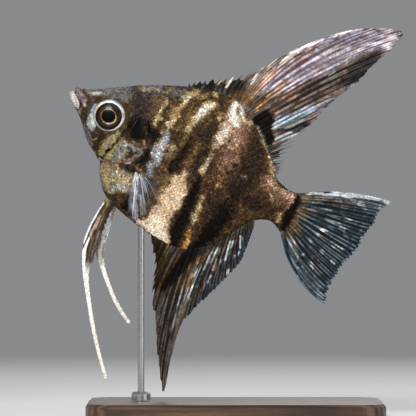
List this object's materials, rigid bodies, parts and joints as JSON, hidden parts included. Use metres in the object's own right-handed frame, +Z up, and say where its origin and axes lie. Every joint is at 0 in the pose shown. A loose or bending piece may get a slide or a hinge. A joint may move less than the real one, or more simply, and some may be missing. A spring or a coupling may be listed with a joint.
{
  "type": "freshwater angelfish model",
  "caption": "Life-size freshwater angelfish, swimming nose-up with tall dorsal and anal fins and long pelvic feelers, on a flat base with a short rod.",
  "frame": {"origin": "centre of the model's footprint, on the underside of the stand's base", "axes": "+Z up, the nose points towards -X, the fish's left side faces -Y and its median plane is Y = 0"},
  "size_m": [0.0896, 0.054, 0.1057],
  "materials": {
    "skin": "satin, scaled, brown and pearl marbling",
    "lip": "satin, pinkish grey",
    "fin": "satin, smoky membranes between pale rays",
    "feeler": "satin, cream white",
    "eye": "polished, dark brown iris in a silver ring",
    "stand_wood": "oiled dark walnut",
    "stand_steel": "brushed"
  },
  "bodies": {
    "root": {"head": "skin", "gill_cover_left": "skin", "gill_cover_right": "skin", "trunk": "skin", "tail": "skin", "lip_upper": "lip", "lip_lower": "lip", "eye_left": "eye", "eye_right": "eye", "fin_dorsal": "fin", "fin_anal": "fin", "fin_caudal": "fin", "fin_pectoral_left": "fin", "fin_pectoral_right": "fin", "fin_pelvic_left": "feeler", "fin_pelvic_right": "feeler", "stand_base": "stand_wood", "stand_rod": "stand_steel", "stand_collar": "stand_steel"}
  },
  "joints": []
}
